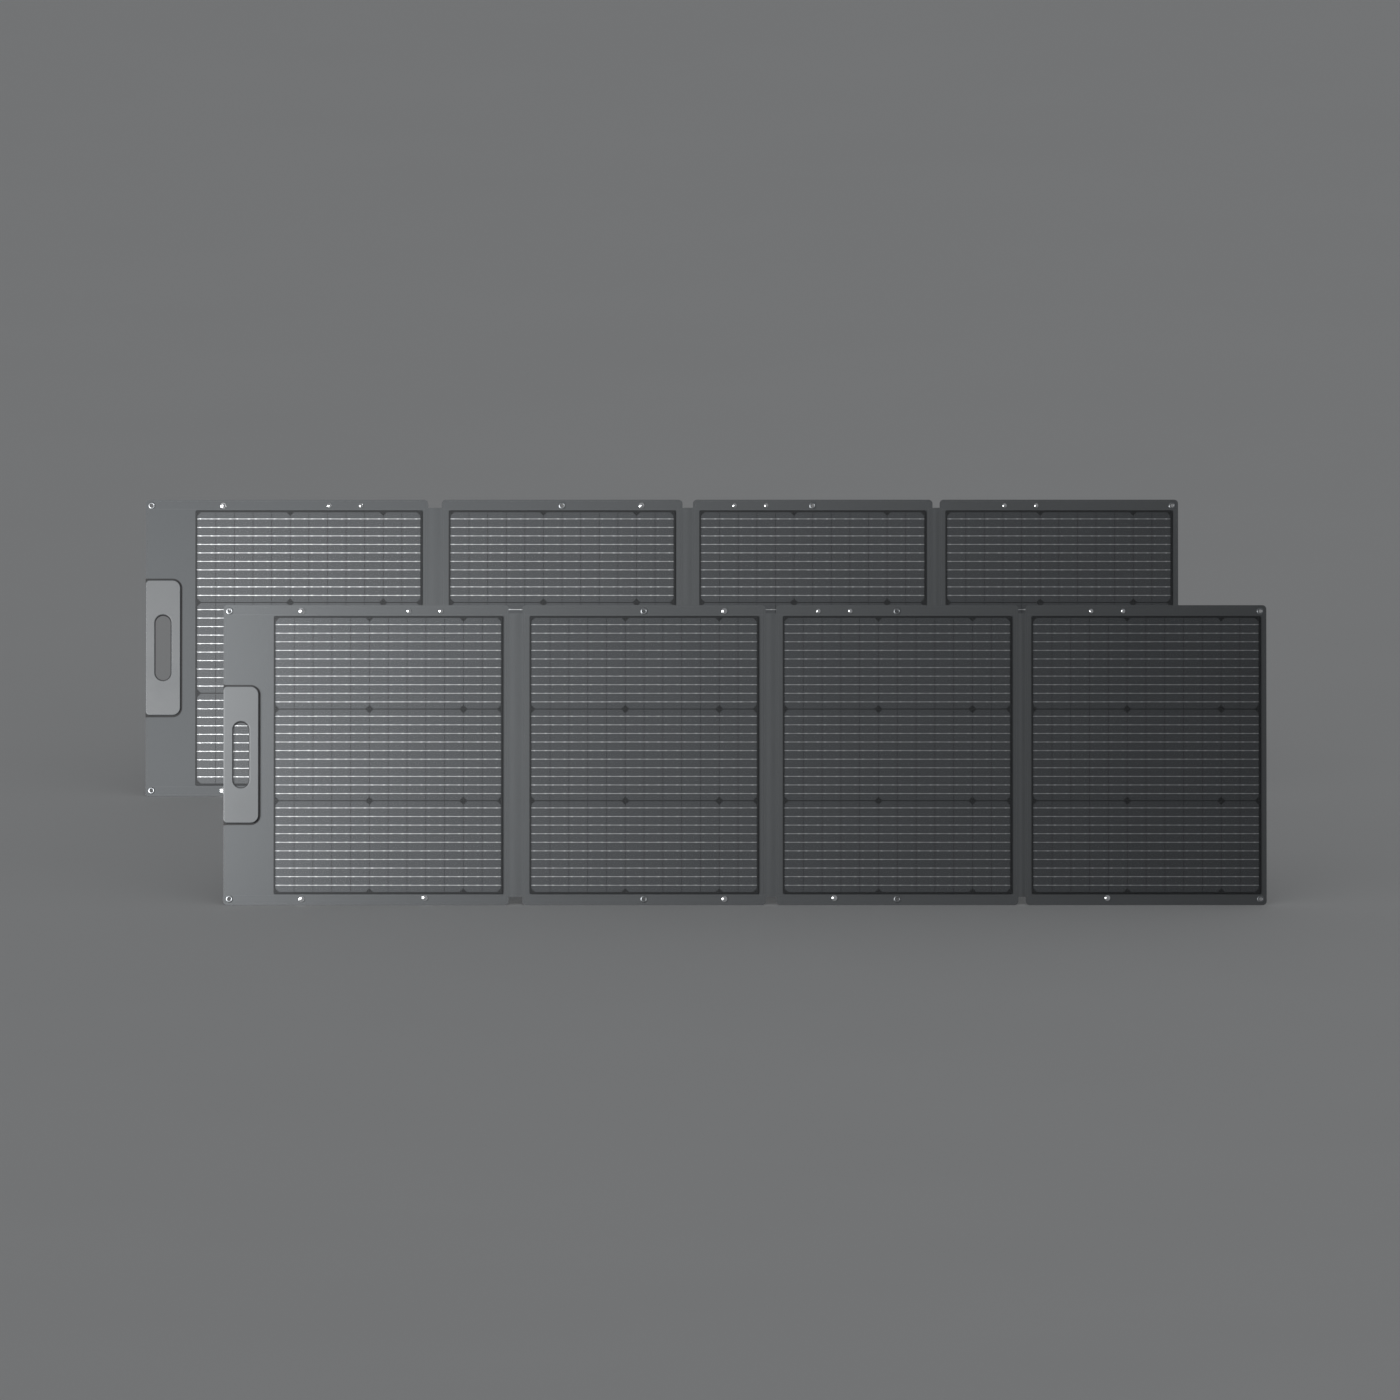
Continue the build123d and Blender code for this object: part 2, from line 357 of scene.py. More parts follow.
def selectWhere(piece, faceTest=None, edgeTest=None):
    pick(piece)
    bpy.ops.object.mode_set(mode="EDIT")
    bpy.ops.mesh.select_mode(type="FACE" if faceTest else "EDGE")
    bpy.ops.mesh.select_all(action="DESELECT")
    mesh = bmesh.from_edit_mesh(piece.data)
    mesh.normal_update()
    for face in mesh.faces if faceTest else ():
        face.select_set(faceTest(face))
    for edge in mesh.edges if edgeTest else ():
        edge.select_set(edgeTest(edge))
    bmesh.update_edit_mesh(piece.data)


def done():
    bpy.ops.object.mode_set(mode="OBJECT")


def isUpright(edge):
    start, end = (corner.co for corner in edge.verts)
    return abs(start.z - end.z) > 0.9 * (start - end).length


def isRim(edge):                         # an edge between a flat face and a side
    return len(edge.link_faces) == 2 and edge.calc_face_angle(0.0) > 1.0 and not isUpright(edge)


def block(width, height, depth, x=0.0, y=0.0, z=0.0):   # z is its lower side
    deselect()
    bpy.ops.mesh.primitive_cube_add(size=1.0, location=(x, y, z + depth / 2))
    piece = bpy.context.object
    piece.scale = (width, height, depth)
    return settle(piece)


def plate(width, height, depth, corner, edge, x=0.0, y=0.0, z=0.0, steps=6, which=lambda line: True):
    piece = block(width, height, depth, 0.0, 0.0, z)
    selectWhere(piece, edgeTest=lambda line: isUpright(line) and which(line))
    bpy.ops.mesh.bevel(offset=corner, segments=steps, affect="EDGES")
    done()
    if edge:
        selectWhere(piece, edgeTest=isRim)
        bpy.ops.mesh.bevel(offset=edge, segments=2, affect="EDGES", clamp_overlap=True)
        done()
    return shift(piece, x, y)


def channel(piece, inset, width, depth, way=1.0):      # a sewn channel that runs round a flat face
    selectWhere(piece, faceTest=lambda face: face.normal.z * way > 0.99 and face.calc_area() > 1e-3)
    bpy.ops.mesh.inset(thickness=inset, depth=0.0)
    bpy.ops.mesh.inset(thickness=width / 2, depth=-depth)
    bpy.ops.mesh.inset(thickness=width / 2, depth=depth)
    done()
    return piece


def cut(piece, tools):
    for tool in tools:
        pick(piece)
        modifier = piece.modifiers.new("cut", "BOOLEAN")
        modifier.operation = "DIFFERENCE"
        modifier.solver = "EXACT"
        modifier.object = tool
        bpy.ops.object.modifier_apply(modifier=modifier.name)
        bpy.data.objects.remove(tool)
    return piece


def drum(radius, depth, x=0.0, y=0.0, z=0.0, sides=24):
    deselect()
    bpy.ops.mesh.primitive_cylinder_add(vertices=sides, radius=radius, depth=depth, location=(x, y, z))
    return settle(bpy.context.object)


def turned(profile, name, steps=28):     # a shape spun about the z axis from (radius, height) points
    deselect()
    bpy.ops.mesh.primitive_plane_add(size=1.0)
    piece = bpy.context.object
    piece.name = name
    bpy.ops.object.mode_set(mode="EDIT")
    mesh = bmesh.from_edit_mesh(piece.data)
    bmesh.ops.delete(mesh, geom=mesh.verts[:], context="VERTS")
    corners = [mesh.verts.new((radius, 0.0, height)) for radius, height in profile]
    for start, end in zip(corners, corners[1:]):
        mesh.edges.new((start, end))
    bmesh.update_edit_mesh(piece.data)
    bpy.ops.mesh.select_all(action="SELECT")
    bpy.ops.mesh.spin(steps=steps, angle=2 * math.pi, center=(0, 0, 0), axis=(0, 0, 1))
    bpy.ops.mesh.select_all(action="SELECT")
    bpy.ops.mesh.remove_doubles(threshold=0.005 * mm)
    bpy.ops.mesh.normals_make_consistent(inside=False)
    done()
    return smooth(piece)


def smooth(piece, angle=40.0):
    pick(piece)
    bpy.ops.object.shade_smooth_by_angle(angle=math.radians(angle))
    return piece


def rowOf(piece, count, stepX=0.0, stepY=0.0):
    pick(piece)
    modifier = piece.modifiers.new("row", "ARRAY")
    modifier.count = count
    modifier.use_relative_offset = False
    modifier.use_constant_offset = True
    modifier.constant_offset_displace = (stepX, stepY, 0.0)
    bpy.ops.object.modifier_apply(modifier=modifier.name)
    return piece


# Turns a flat piece onto both units, and says what it stands for and is finished in, and what it rides on; a piece
# given blendTo is baked in place on no body
def install(piece, name, body, finish, replaced=(), blendTo=None, blendEnds=None):
    made = {}
    for unit in units:
        twin = copyOf(piece, f"{unit}_{name}")
        twin.matrix_world = Matrix.Translation(cornerOf(unit)) @ Matrix.Rotation(tilt, 4, "X")
        settle(twin)
        twin.data.materials.clear()
        twin.data.materials.append(finishes[finish])
        if blendTo:
            start, end = (rowPoint(point, unit) for point in blendEnds)
            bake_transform(twin)
        else:
            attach(twin, f"{unit}_{body}")
        if replaced:
            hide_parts(*(f"{unit}_{node}" for node in replaced))
        made[unit] = twin
    bpy.data.objects.remove(piece)
    return made


# Canvas of the leaves
hem = {
    "edge": 0.25 * mm, "inset": 3.0 * mm, "width": 1.4 * mm, "depth": 0.22 * mm, "innerStitch": 19.5 * mm,
    "stitchRoom": 6 * mm,
}
fastener = {
    "inset": 12 * mm, "footInset": 14 * mm, "eyeletHole": 4.45 * mm, "studHole": 2.25 * mm,
    "rivetHole": 1.85 * mm, "rivetSpacing": 63.5 * mm, "closingStud": {1: -172 * mm, 2: 160 * mm},
}
handle = {
    "width": 70 * mm, "length": 274 * mm, "slotWidth": 33 * mm, "slotLength": 134 * mm, "slotRoom": 1 * mm,
    "nick": 3 * mm, "gasket": 3.6 * mm, "gasketThick": 0.5 * mm, "gasketEdge": 0.12 * mm,
    "innerCorner": 16 * mm, "liner": 1.4 * mm, "linerTop": 3.4 * mm, "linerBack": 1.8 * mm,
    "linerEdge": 0.35 * mm,
}
standMiddle = {leaf: flatPoint(joints[f"front_stand_{leaf}_hinge"]["pos_m"]).x for leaf in standLeaves}
topRow = sheet["height"] - fastener["inset"]
middleY = sheet["height"] / 2


def eyeletPlaces(leaf):
    ends = {1: fastener["inset"], 4: leafSpan[4][1] - fastener["inset"]}
    column = ends.get(leaf, fieldMiddle[leaf])
    return [(column, fastener["inset"]), (column, topRow)]


def studPlaces(leaf):
    places = []
    if leaf in fastener["closingStud"]:
        column = fieldMiddle[leaf] + fastener["closingStud"][leaf]
        places += [(column, fastener["inset"]), (column, topRow)]
    if leaf in standLeaves:
        places.append((standMiddle[leaf], fastener["footInset"]))
    return places


def rivetPlaces(leaf):
    if leaf not in standLeaves:
        return []
    return [(standMiddle[leaf] + side * fastener["rivetSpacing"] / 2, topRow) for side in (-1, 1)]


def slotTool(extra, depth):              # the finger slot, grown by a little all round
    width, length = handle["slotWidth"] + 2 * extra, handle["slotLength"] + 2 * extra
    corner = width / 2 * 0.999
    return plate(width, length, depth, corner, 0.0, handle["width"] / 2, middleY, -depth / 2, steps=16)


def leafCanvas(leaf):
    left, right = leafSpan[leaf]
    middle, width = (left + right) / 2, right - left
    thick = sheet["thick"]
    cloth = plate(
        width, sheet["height"], thick, sheet["corner"], hem["edge"], middle, middleY, -thick, steps=8)
    for way in (1.0, -1.0):
        channel(cloth, hem["inset"], hem["width"], hem["depth"], way)
    holes = [(place, fastener["eyeletHole"]) for place in eyeletPlaces(leaf)]
    holes += [(place, fastener["studHole"]) for place in studPlaces(leaf)]
    holes += [(place, fastener["rivetHole"]) for place in rivetPlaces(leaf)]
    tools = [drum(radius, 10 * thick, x, y) for (x, y), radius in holes]
    if leaf == 1:
        end = handle["length"] / 2 + handle["nick"]
        tools += [drum(handle["nick"], 10 * thick, 0.0, middleY + side * end) for side in (-1, 1)]
        tools.append(slotTool(handle["slotRoom"], 10 * thick))
    return cut(cloth, [join(tools, "holes")])


for leaf in leaves:
    made = install(
        leafCanvas(leaf), f"canvasLeaf{leaf}", f"leaf_{leaf}", "canvas", [f"canvas_{leaf}"])
    flat = (leafSpan[leaf][1] - leafSpan[leaf][0], sheet["height"])
print("stage: leaf canvas made")


# Cloth of the folds: each half runs over one crease
foldCloth = {
    "thick": 0.6 * mm, "tuck": 4 * mm, "sunk": 0.08 * mm, "ridge": 0.5 * mm, "ripple": 0.12 * mm,
    "notch": 16.5 * mm, "bend": 2.4 * mm, "step": 6 * mm,
}


def foldHalf(fold, near):
    low, high = spanOf(f"fold_{fold}")
    middle = (low + high) / 2
    creaseName = f"front_crease_{fold}_" + ("near" if near else "far")
    crease = flatPoint(joints[creaseName]["pos_m"]).x
    way = 1.0 if middle > crease else -1.0
    start = crease - way * foldCloth["tuck"]
    half = abs(middle - crease)
    long = sheet["height"] - 2 * foldCloth["notch"]
    wide = abs(middle - start)
    deselect()
    bpy.ops.mesh.primitive_grid_add(
        x_subdivisions=round(wide / mm), y_subdivisions=round(long / foldCloth["step"]), size=1.0)
    cloth = bpy.context.object
    cloth.scale = (wide, long, 1.0)
    settle(cloth)
    shift(cloth, (start + middle) / 2, middleY, 0.0)
    for corner in cloth.data.vertices:
        past = max(0.0, (corner.co.x - crease) * way / half)
        wave = math.sin(corner.co.y * 38.0 + crease * 20.0) * foldCloth["ripple"]
        corner.co.z = math.sin(past * math.pi / 2) ** 2 * (foldCloth["ridge"] + wave) - foldCloth["sunk"]
    solid = cloth.modifiers.new("thick", "SOLIDIFY")
    solid.thickness = foldCloth["thick"]
    solid.offset = -1.0
    pick(cloth)
    bpy.ops.object.modifier_apply(modifier=solid.name)
    bend = foldCloth["bend"]
    ends = [(crease - way * bend, middleY, 0.0), (crease + way * bend, middleY, 0.0)]
    return smooth(cloth, 60.0), ends, (wide, long)


for fold, (nearLeaf, farLeaf) in folds.items():
    for near, leaf in ((True, nearLeaf), (False, farLeaf)):
        cloth, ends, flat = foldHalf(fold, near)
        side = "Near" if near else "Far"
        made = install(
            cloth, f"foldCloth{fold.upper()}{side}", f"leaf_{leaf}", "canvas", [f"fold_{fold}"],
            blendTo=f"fold_{fold}", blendEnds=ends)
print("stage: fold cloth made")


# Sewing threads: short stitches in rows
thread = {"radius": 0.27 * mm, "length": 3.1 * mm, "pitch": 4.3 * mm, "lift": 0.03 * mm, "sides": 5}


def stitches(run, x, y, z, upright):     # a run of stitches centred on a point
    deselect()
    bpy.ops.mesh.primitive_cylinder_add(
        vertices=thread["sides"], radius=thread["radius"], depth=thread["length"],
        rotation=(0, math.pi / 2, 0))
    piece = settle(bpy.context.object)
    count = int(run / thread["pitch"])
    rowOf(piece, count, stepX=thread["pitch"])
    piece.location = (-(count - 1) * thread["pitch"] / 2, 0.0, 0.0)
    settle(piece)
    if upright:
        piece.matrix_world = Matrix.Rotation(math.pi / 2, 4, "Z")
        settle(piece)
    return shift(piece, x, y, z)


def leafStitches(leaf):
    left, right = leafSpan[leaf]
    width, height = right - left, sheet["height"]
    middle = (left + right) / 2
    line = hem["inset"] + hem["width"] / 2
    clear = sheet["corner"] + hem["stitchRoom"]
    frontZ = thread["lift"] - hem["depth"] * 0.6     # the stitches lie in the hem's channel
    runs = []
    for z in (frontZ, -sheet["thick"] - frontZ):
        for y in (line, height - line):
            runs.append(stitches(width - 2 * clear, middle, y, z, False))
        for x in (left + line, right - line):
            if leaf == 1 and x < middle:
                spare = (height - handle["length"]) / 2 - clear - 3 * handle["nick"]
                for y in (clear + spare / 2, height - clear - spare / 2):
                    runs.append(stitches(spare, x, y, z, True))
            else:
                runs.append(stitches(height - 2 * clear, x, middleY, z, True))
    inner = hem["innerStitch"]
    for y in (inner, height - inner):
        runs.append(stitches(width - 2 * hem["inset"], middle, y, thread["lift"], False))
    return join(runs, "stitches")


for leaf in leaves:
    install(leafStitches(leaf), f"hemStitches{leaf}", f"leaf_{leaf}", "thread")
print("stage: stitches made")


# Cells: strips cut from wafers, busbars across them, and a clear film over all
busbar = {
    "perRow": 10, "pitch": 17.24 * mm, "width": 1.0 * mm, "high": 0.12 * mm, "padWidth": 2.0 * mm,
    "padLength": 3.6 * mm, "padHigh": 0.2 * mm, "overrun": 0.35 * mm, "padsPerStrip": (0.15, 0.78),
}
film = {"high": 2.36 * mm, "thick": 0.22 * mm, "rim": 0.3 * mm, "corner": 3 * mm, "edge": 0.08 * mm}
board = {"rim": 4 * mm}
fieldWidth = cell["columns"] * cell["width"] + (cell["columns"] - 1) * cell["gap"]
fieldHeight = cell["rows"] * cell["height"] + (cell["rows"] - 1) * cell["rowGap"]


def atSide(line, side):                  # an edge of a strip near its left or right side
    return line.verts[0].co.x * side > 0.4 * cell["width"]


def chamferTop(piece, size, level):      # the rim that lies above a level
    selectWhere(piece, edgeTest=lambda line: isRim(line) and line.verts[0].co.z > level)
    bpy.ops.mesh.bevel(offset=size, segments=1, affect="EDGES")
    done()


def wholeField():                        # centred on the field's middle
    strips = []
    for column in range(cell["columns"]):
        starts = column % cell["perWafer"] == 0
        ends = (column + 1) % cell["perWafer"] == 0 or column == cell["columns"] - 1
        strip = block(cell["width"], cell["height"], cell["thick"], 0, 0, cell["floor"])
        for wanted, side in ((starts, -1), (ends, 1)):
            if wanted:
                selectWhere(strip, edgeTest=lambda line: isUpright(line) and atSide(line, side))
                bpy.ops.mesh.bevel(offset=cell["chamfer"], segments=1, affect="EDGES")
                done()
        chamferTop(strip, cell["edge"], cell["floor"] + cell["thick"] / 2)
        x = -fieldWidth / 2 + cell["width"] / 2 + column * (cell["width"] + cell["gap"])
        shift(strip, x, -fieldHeight / 2 + cell["height"] / 2)
        strips.append(rowOf(strip, cell["rows"], stepY=cell["height"] + cell["rowGap"]))
    return join(strips, "cellField")


def wholeBusbars():
    top = cell["floor"] + cell["thick"]
    bar = block(cell["width"] + 2 * busbar["overrun"], busbar["width"], busbar["high"], 0, 0, top)
    chamferTop(bar, busbar["high"] * 0.45, top + busbar["high"] / 2)
    pads = []
    for share in busbar["padsPerStrip"]:
        x = (share - 0.5) * cell["width"]
        pad = block(busbar["padLength"], busbar["padWidth"], busbar["padHigh"], x, 0, top)
        chamferTop(pad, busbar["padHigh"] * 0.6, top + busbar["padHigh"] / 2)
        pads.append(pad)
    bars = join([bar, *pads], "busbars")
    first = (cell["height"] - (busbar["perRow"] - 1) * busbar["pitch"]) / 2
    shift(bars, -fieldWidth / 2 + cell["width"] / 2, -fieldHeight / 2 + first)
    rowOf(bars, busbar["perRow"], stepY=busbar["pitch"])
    rowOf(bars, cell["rows"], stepY=cell["height"] + cell["rowGap"])
    return rowOf(bars, cell["columns"], stepX=cell["width"] + cell["gap"])


def filmSheet(leaf):
    left, right = boardSpan[leaf]
    width = right - left - 2 * film["rim"]
    height = fieldHeight + 2 * board["rim"] - 2 * film["rim"]
    return plate(
        width, height, film["thick"], film["corner"], film["edge"], fieldMiddle[leaf], middleY, film["high"])


cellField, busbarField = wholeField(), wholeBusbars()
for leaf in leaves:
    for model, name, finish, slot, replaced in (
            (cellField, "cellStrips", "silicon", "cells", [f"cells_{leaf}"]),
            (busbarField, "busbars", "busbar", "cells", [])):
        piece = shift(copyOf(model, name), fieldMiddle[leaf], middleY)
        install(piece, f"{name}{leaf}", f"leaf_{leaf}", finish, replaced)
    install(filmSheet(leaf), f"clearFilm{leaf}", f"leaf_{leaf}", "film")
for model in (cellField, busbarField):
    bpy.data.objects.remove(model)
print("stage: cells made")


# Studs, rivets and eyelets
cap = {
    "radius": 6.0 * mm, "high": 2.2 * mm, "rivetRadius": 4.5 * mm, "rivetHigh": 1.7 * mm, "washer": 1.1 * mm,
}
ring = {"outer": 7.0 * mm, "bore": 3.5 * mm, "flange": 1.0 * mm, "barrel": 4.3 * mm}


# A rolled edge, a shallow groove and a domed middle, with a washer behind, as shares of radius and height
capFront = (
    (0.0, 1.0), (0.30, 0.985), (0.52, 0.90), (0.66, 0.74), (0.72, 0.66), (0.78, 0.68), (0.88, 0.70),
    (0.96, 0.58), (1.0, 0.36), (0.985, 0.12), (0.93, 0.0), (0.36, 0.0))
capBack = (
    (0.36, 0.0), (0.93, 0.0), (1.0, 0.4), (0.94, 0.85), (0.82, 1.0), (0.45, 0.9), (0.36, 0.45), (0.0, 0.4))


def capPiece(radius, high, name):
    front = [(radius * out, high * up) for out, up in capFront]
    rear = [(radius * out, -sheet["thick"] - cap["washer"] * down) for out, down in capBack]
    return turned(front + rear, name)


def ringPiece():                         # rolled on both faces
    back = -sheet["thick"]
    outer, bore, high = ring["outer"], ring["bore"], ring["flange"]
    front = [
        (bore, 0.0), (bore, high * 0.5), (bore + 0.35 * mm, high * 0.86), (bore + 0.95 * mm, high),
        (outer - 1.3 * mm, high * 0.93), (outer - 0.5 * mm, high * 0.62), (outer, high * 0.2), (outer, 0.0)]
    rear = [(radius, back - height) for radius, height in reversed(front)]
    barrel = [(ring["barrel"], 0.0), (ring["barrel"], back)]
    return turned([*front, *barrel, *rear, (bore, 0.0)], "ring", 32)


def placed(model, places, name):
    copies = [shift(copyOf(model, name), x, y) for x, y in places]
    return join(copies, name)


stud = capPiece(cap["radius"], cap["high"], "stud")
rivet = capPiece(cap["rivetRadius"], cap["rivetHigh"], "rivet")
eyelet = ringPiece()
for leaf in leaves:
    fasteners = [
        (stud, studPlaces(leaf), "pressStuds", "chrome", "stud_metal", f"studs_{leaf}"),
        (rivet, rivetPlaces(leaf), "standRivets", "chrome", "stud_metal", f"studs_{leaf}"),
        (eyelet, eyeletPlaces(leaf), "eyeletRings", "eyelet", "eyelet_metal", f"eyelets_{leaf}"),
    ]
    for model, places, name, finish, slot, node in fasteners:
        if places:
            install(placed(model, places, name), f"{name}{leaf}", f"leaf_{leaf}", finish, [node])
for model in (stud, rivet, eyelet):
    bpy.data.objects.remove(model)
print("stage: fasteners made")


# Handle: a dark band of painted shade shows round the moulded shells as their shade line, and screws on the back
screw = {
    "radius": 3.0 * mm, "high": 0.9 * mm, "slotWidth": 0.9 * mm, "sunk": 0.2 * mm, "inset": 9 * mm,
    "fromEdge": 10 * mm, "fromInner": 12 * mm,
}


# painted shade: a near-black band round the handle's shells stands in for the shade line at their edge
def shadeBandPiece():
    extra = handle["gasket"]
    width, length = handle["width"] + extra, handle["length"] + 2 * extra
    gasket = plate(
        width, length, handle["gasketThick"], handle["innerCorner"] + extra, handle["gasketEdge"],
        width / 2, middleY, 0.0, steps=10, which=lambda line: line.verts[0].co.x > 0)
    return cut(gasket, [slotTool(handle["slotRoom"] + extra, 6 * mm)])


def screwPiece(z, way):                  # a pan head with a cross slot
    radius, high, under = screw["radius"], screw["high"], -screw["sunk"]
    profile = [
        (0.0, high), (radius * 0.55, high * 0.96), (radius * 0.86, high * 0.7), (radius, high * 0.3),
        (radius, under), (0.0, under)]
    head = turned(profile, "screw", 20)
    slotLength, slotFloor = radius * 1.2, high * 0.45
    for width, length in ((screw["slotWidth"], slotLength), (slotLength, screw["slotWidth"])):
        cut(head, [block(width, length, high, 0, 0, slotFloor)])
    if way < 0:
        head.matrix_world = Matrix.Rotation(math.pi, 4, "X")
        settle(head)
    return shift(head, 0, 0, z)


def shellBack(node):                     # the flat-frame z of a node's lowest side
    corners = frame["nodes"]["front_" + node].data.vertices
    return min(flatPoint(corner.co).z for corner in corners)


def slotShadeLiner():                         # a dark sleeve just inside the finger slot, painted shade for the shadowed wall of the slot
    low = shellBack("handle_back") + handle["linerBack"]
    depth = handle["linerTop"] - low
    sleeve = plate(
        handle["slotWidth"], handle["slotLength"], depth, handle["slotWidth"] / 2 * 0.999, 0.0,
        handle["width"] / 2, middleY, low, steps=16)
    cut(sleeve, [slotTool(-handle["liner"], 3 * depth)])
    selectWhere(sleeve, edgeTest=isRim)
    bpy.ops.mesh.bevel(offset=handle["linerEdge"], segments=2, affect="EDGES", clamp_overlap=True)
    done()
    return sleeve


# painted shade: the dark band round the handle and the dark sleeve in its slot
install(shadeBandPiece(), "handleGasket", "leaf_1", "gasket")
# painted shade: the dark sleeve in the slot stands in for the shadow on the slot's walls
install(slotShadeLiner(), "handleSlotLiner", "leaf_1", "gasket")
inset = screw["inset"]
screwHead = screwPiece(shellBack("handle_back"), -1)
handleScrewPlaces = [
    (x, middleY + side * (handle["length"] / 2 - inset)) for side in (-1, 1)
    for x in (screw["fromEdge"], handle["width"] - screw["fromInner"])]
install(placed(screwHead, handleScrewPlaces, "screws"), "handleScrews", "leaf_1", "eyelet")
bpy.data.objects.remove(screwHead)
print("stage: handle made")


# Stands: a stiff board in cloth, a cloth hinge at its top and a webbing strap at its foot
stand = {
    "width": 90 * mm, "thick": 2.2 * mm, "gap": 0.2 * mm, "corner": 8 * mm, "edge": 0.7 * mm,
    "footInset": 24 * mm, "channel": 6 * mm,
}
hinge = flatPoint(joints["front_stand_1_hinge"]["pos_m"])
standLength = hinge.y - stand["footInset"]
standMiddleY = hinge.y - standLength / 2
strap = {
    "width": 20 * mm, "thick": 0.7 * mm, "fromFoot": 46 * mm, "sewn": 10 * mm, "sunk": 0.15 * mm, "steps": 30,
}
tab = {
    "width": 82 * mm, "thick": 0.5 * mm, "above": 20 * mm, "down": 34 * mm, "off": 0.55,
    "kneeAbove": 1.2 * mm, "kneeBelow": 3 * mm, "flatSteps": 12, "bendSteps": 8,
    "bendAbove": 3 * mm, "bendBelow": 1.2 * mm,
}


def opened(piece):                       # swung out from the leaf about its hinge line
    there, back = (Matrix.Translation((0, way * hinge.y, way * hinge.z)) for way in (1, -1))
    piece.matrix_world = there @ Matrix.Rotation(standOpening, 4, "X") @ back
    return settle(piece)


def openedPoint(y, z, share=1.0):        # the same for a point of the closed stand, opened by a share
    turn = Matrix.Rotation(standOpening * share, 3, "X")
    return Vector((0, hinge.y, hinge.z)) + turn @ Vector((0, y - hinge.y, z - hinge.z))


def standBoard():
    low = hinge.z - stand["gap"] - stand["thick"]
    leg = plate(
        stand["width"], standLength, stand["thick"], stand["corner"], stand["edge"], 0, standMiddleY, low)
    for way in (1.0, -1.0):
        channel(leg, stand["channel"], hem["width"], hem["depth"], way)
    return opened(leg)


def standStitches():
    line = stand["channel"] + hem["width"] / 2 + stand["edge"]
    x, y = stand["width"] / 2 - line, standLength / 2 - line
    top, sunk = hinge.z - stand["gap"], hem["depth"] * 0.5
    runs = []
    for z in (top - sunk, top - stand["thick"] + sunk):
        for side in (-1, 1):
            runs.append(stitches(standLength - 4 * line, side * x, standMiddleY, z, True))
            runs.append(stitches(stand["width"] - 4 * line, 0, standMiddleY + side * y, z, False))
    return opened(join(runs, "standStitches"))


def ribbon(path, width, thick, name, cuts=6):    # a flat strip along (y, z) points, centred on x = 0
    deselect()
    bpy.ops.mesh.primitive_grid_add(x_subdivisions=cuts, y_subdivisions=len(path) - 1, size=1.0)
    piece = bpy.context.object
    piece.name = name
    for corner in piece.data.vertices:
        y, z = path[round((corner.co.y + 0.5) * (len(path) - 1))]
        corner.co = (corner.co.x * width, y, z)
    solid = piece.modifiers.new("thick", "SOLIDIFY")
    solid.thickness = thick
    solid.offset = 0.0
    pick(piece)
    bpy.ops.object.modifier_apply(modifier=solid.name)
    bpy.ops.object.mode_set(mode="EDIT")
    bpy.ops.mesh.select_all(action="SELECT")
    bpy.ops.mesh.normals_make_consistent(inside=False)
    done()
    return smooth(piece, 50.0)


# It leaves the leaf flat, crosses, and meets the stand flat. Its points advance evenly along the
# half-open stand.
def strapPath():
    half = Matrix.Rotation(standOpening / 2, 3, "X") @ Vector((0, -1, 0))
    axis = Vector((0, hinge.y, hinge.z))
    low, lowZ = fastener["footInset"], -sheet["thick"] - strap["thick"] / 2
    high, highZ = stand["footInset"] + strap["fromFoot"], hinge.z - stand["gap"] + strap["sunk"]
    first = (openedPoint(low, lowZ, 0.0) - axis).dot(half)
    last = (openedPoint(high, highZ) - axis).dot(half)
    path = [openedPoint(low - strap["sewn"] * back, lowZ, 0.0) for back in (1.0, 0.5)]
    for step in range(strap["steps"] + 1):
        along = step / strap["steps"]
        share = along * along * (3 - 2 * along)
        turn = Matrix.Rotation(standOpening * share, 3, "X")
        down = turn @ Vector((0, -1, 0))
        out = turn @ Vector((0, 0, lowZ + (highZ - lowZ) * along - hinge.z))
        reach = (first + (last - first) * along - out.dot(half)) / down.dot(half)
        path.append(axis + down * reach + out)
    path += [openedPoint(high + strap["sewn"] * onward, highZ) for onward in (0.5, 1.0)]
    return [(point.y, point.z) for point in path], (axis + half * first, axis + half * last)


def tabPath():                           # flat on the leaf, over the hinge and flat on the stand's back
    steps, off = tab["flatSteps"], tab["thick"] * tab["off"]
    back, outside = -sheet["thick"] - off, hinge.z - stand["gap"] - stand["thick"] - off
    above = [(hinge.y + tab["above"] * (1 - step / steps), back) for step in range(steps)]
    start, knee = hinge.y + tab["kneeAbove"], openedPoint(hinge.y - tab["kneeBelow"], outside)
    bend = []
    for step in range(tab["bendSteps"] + 1):
        share = step / tab["bendSteps"]
        drop = share * share * (3 - 2 * share)
        bend.append((start + (knee.y - start) * share, back + (knee.z - back) * drop))
    reaches = [tab["kneeBelow"] + tab["down"] * (step + 1) / steps for step in range(steps)]
    below = [openedPoint(hinge.y - reach, outside) for reach in reaches]
    return above + bend + [(point.y, point.z) for point in below]


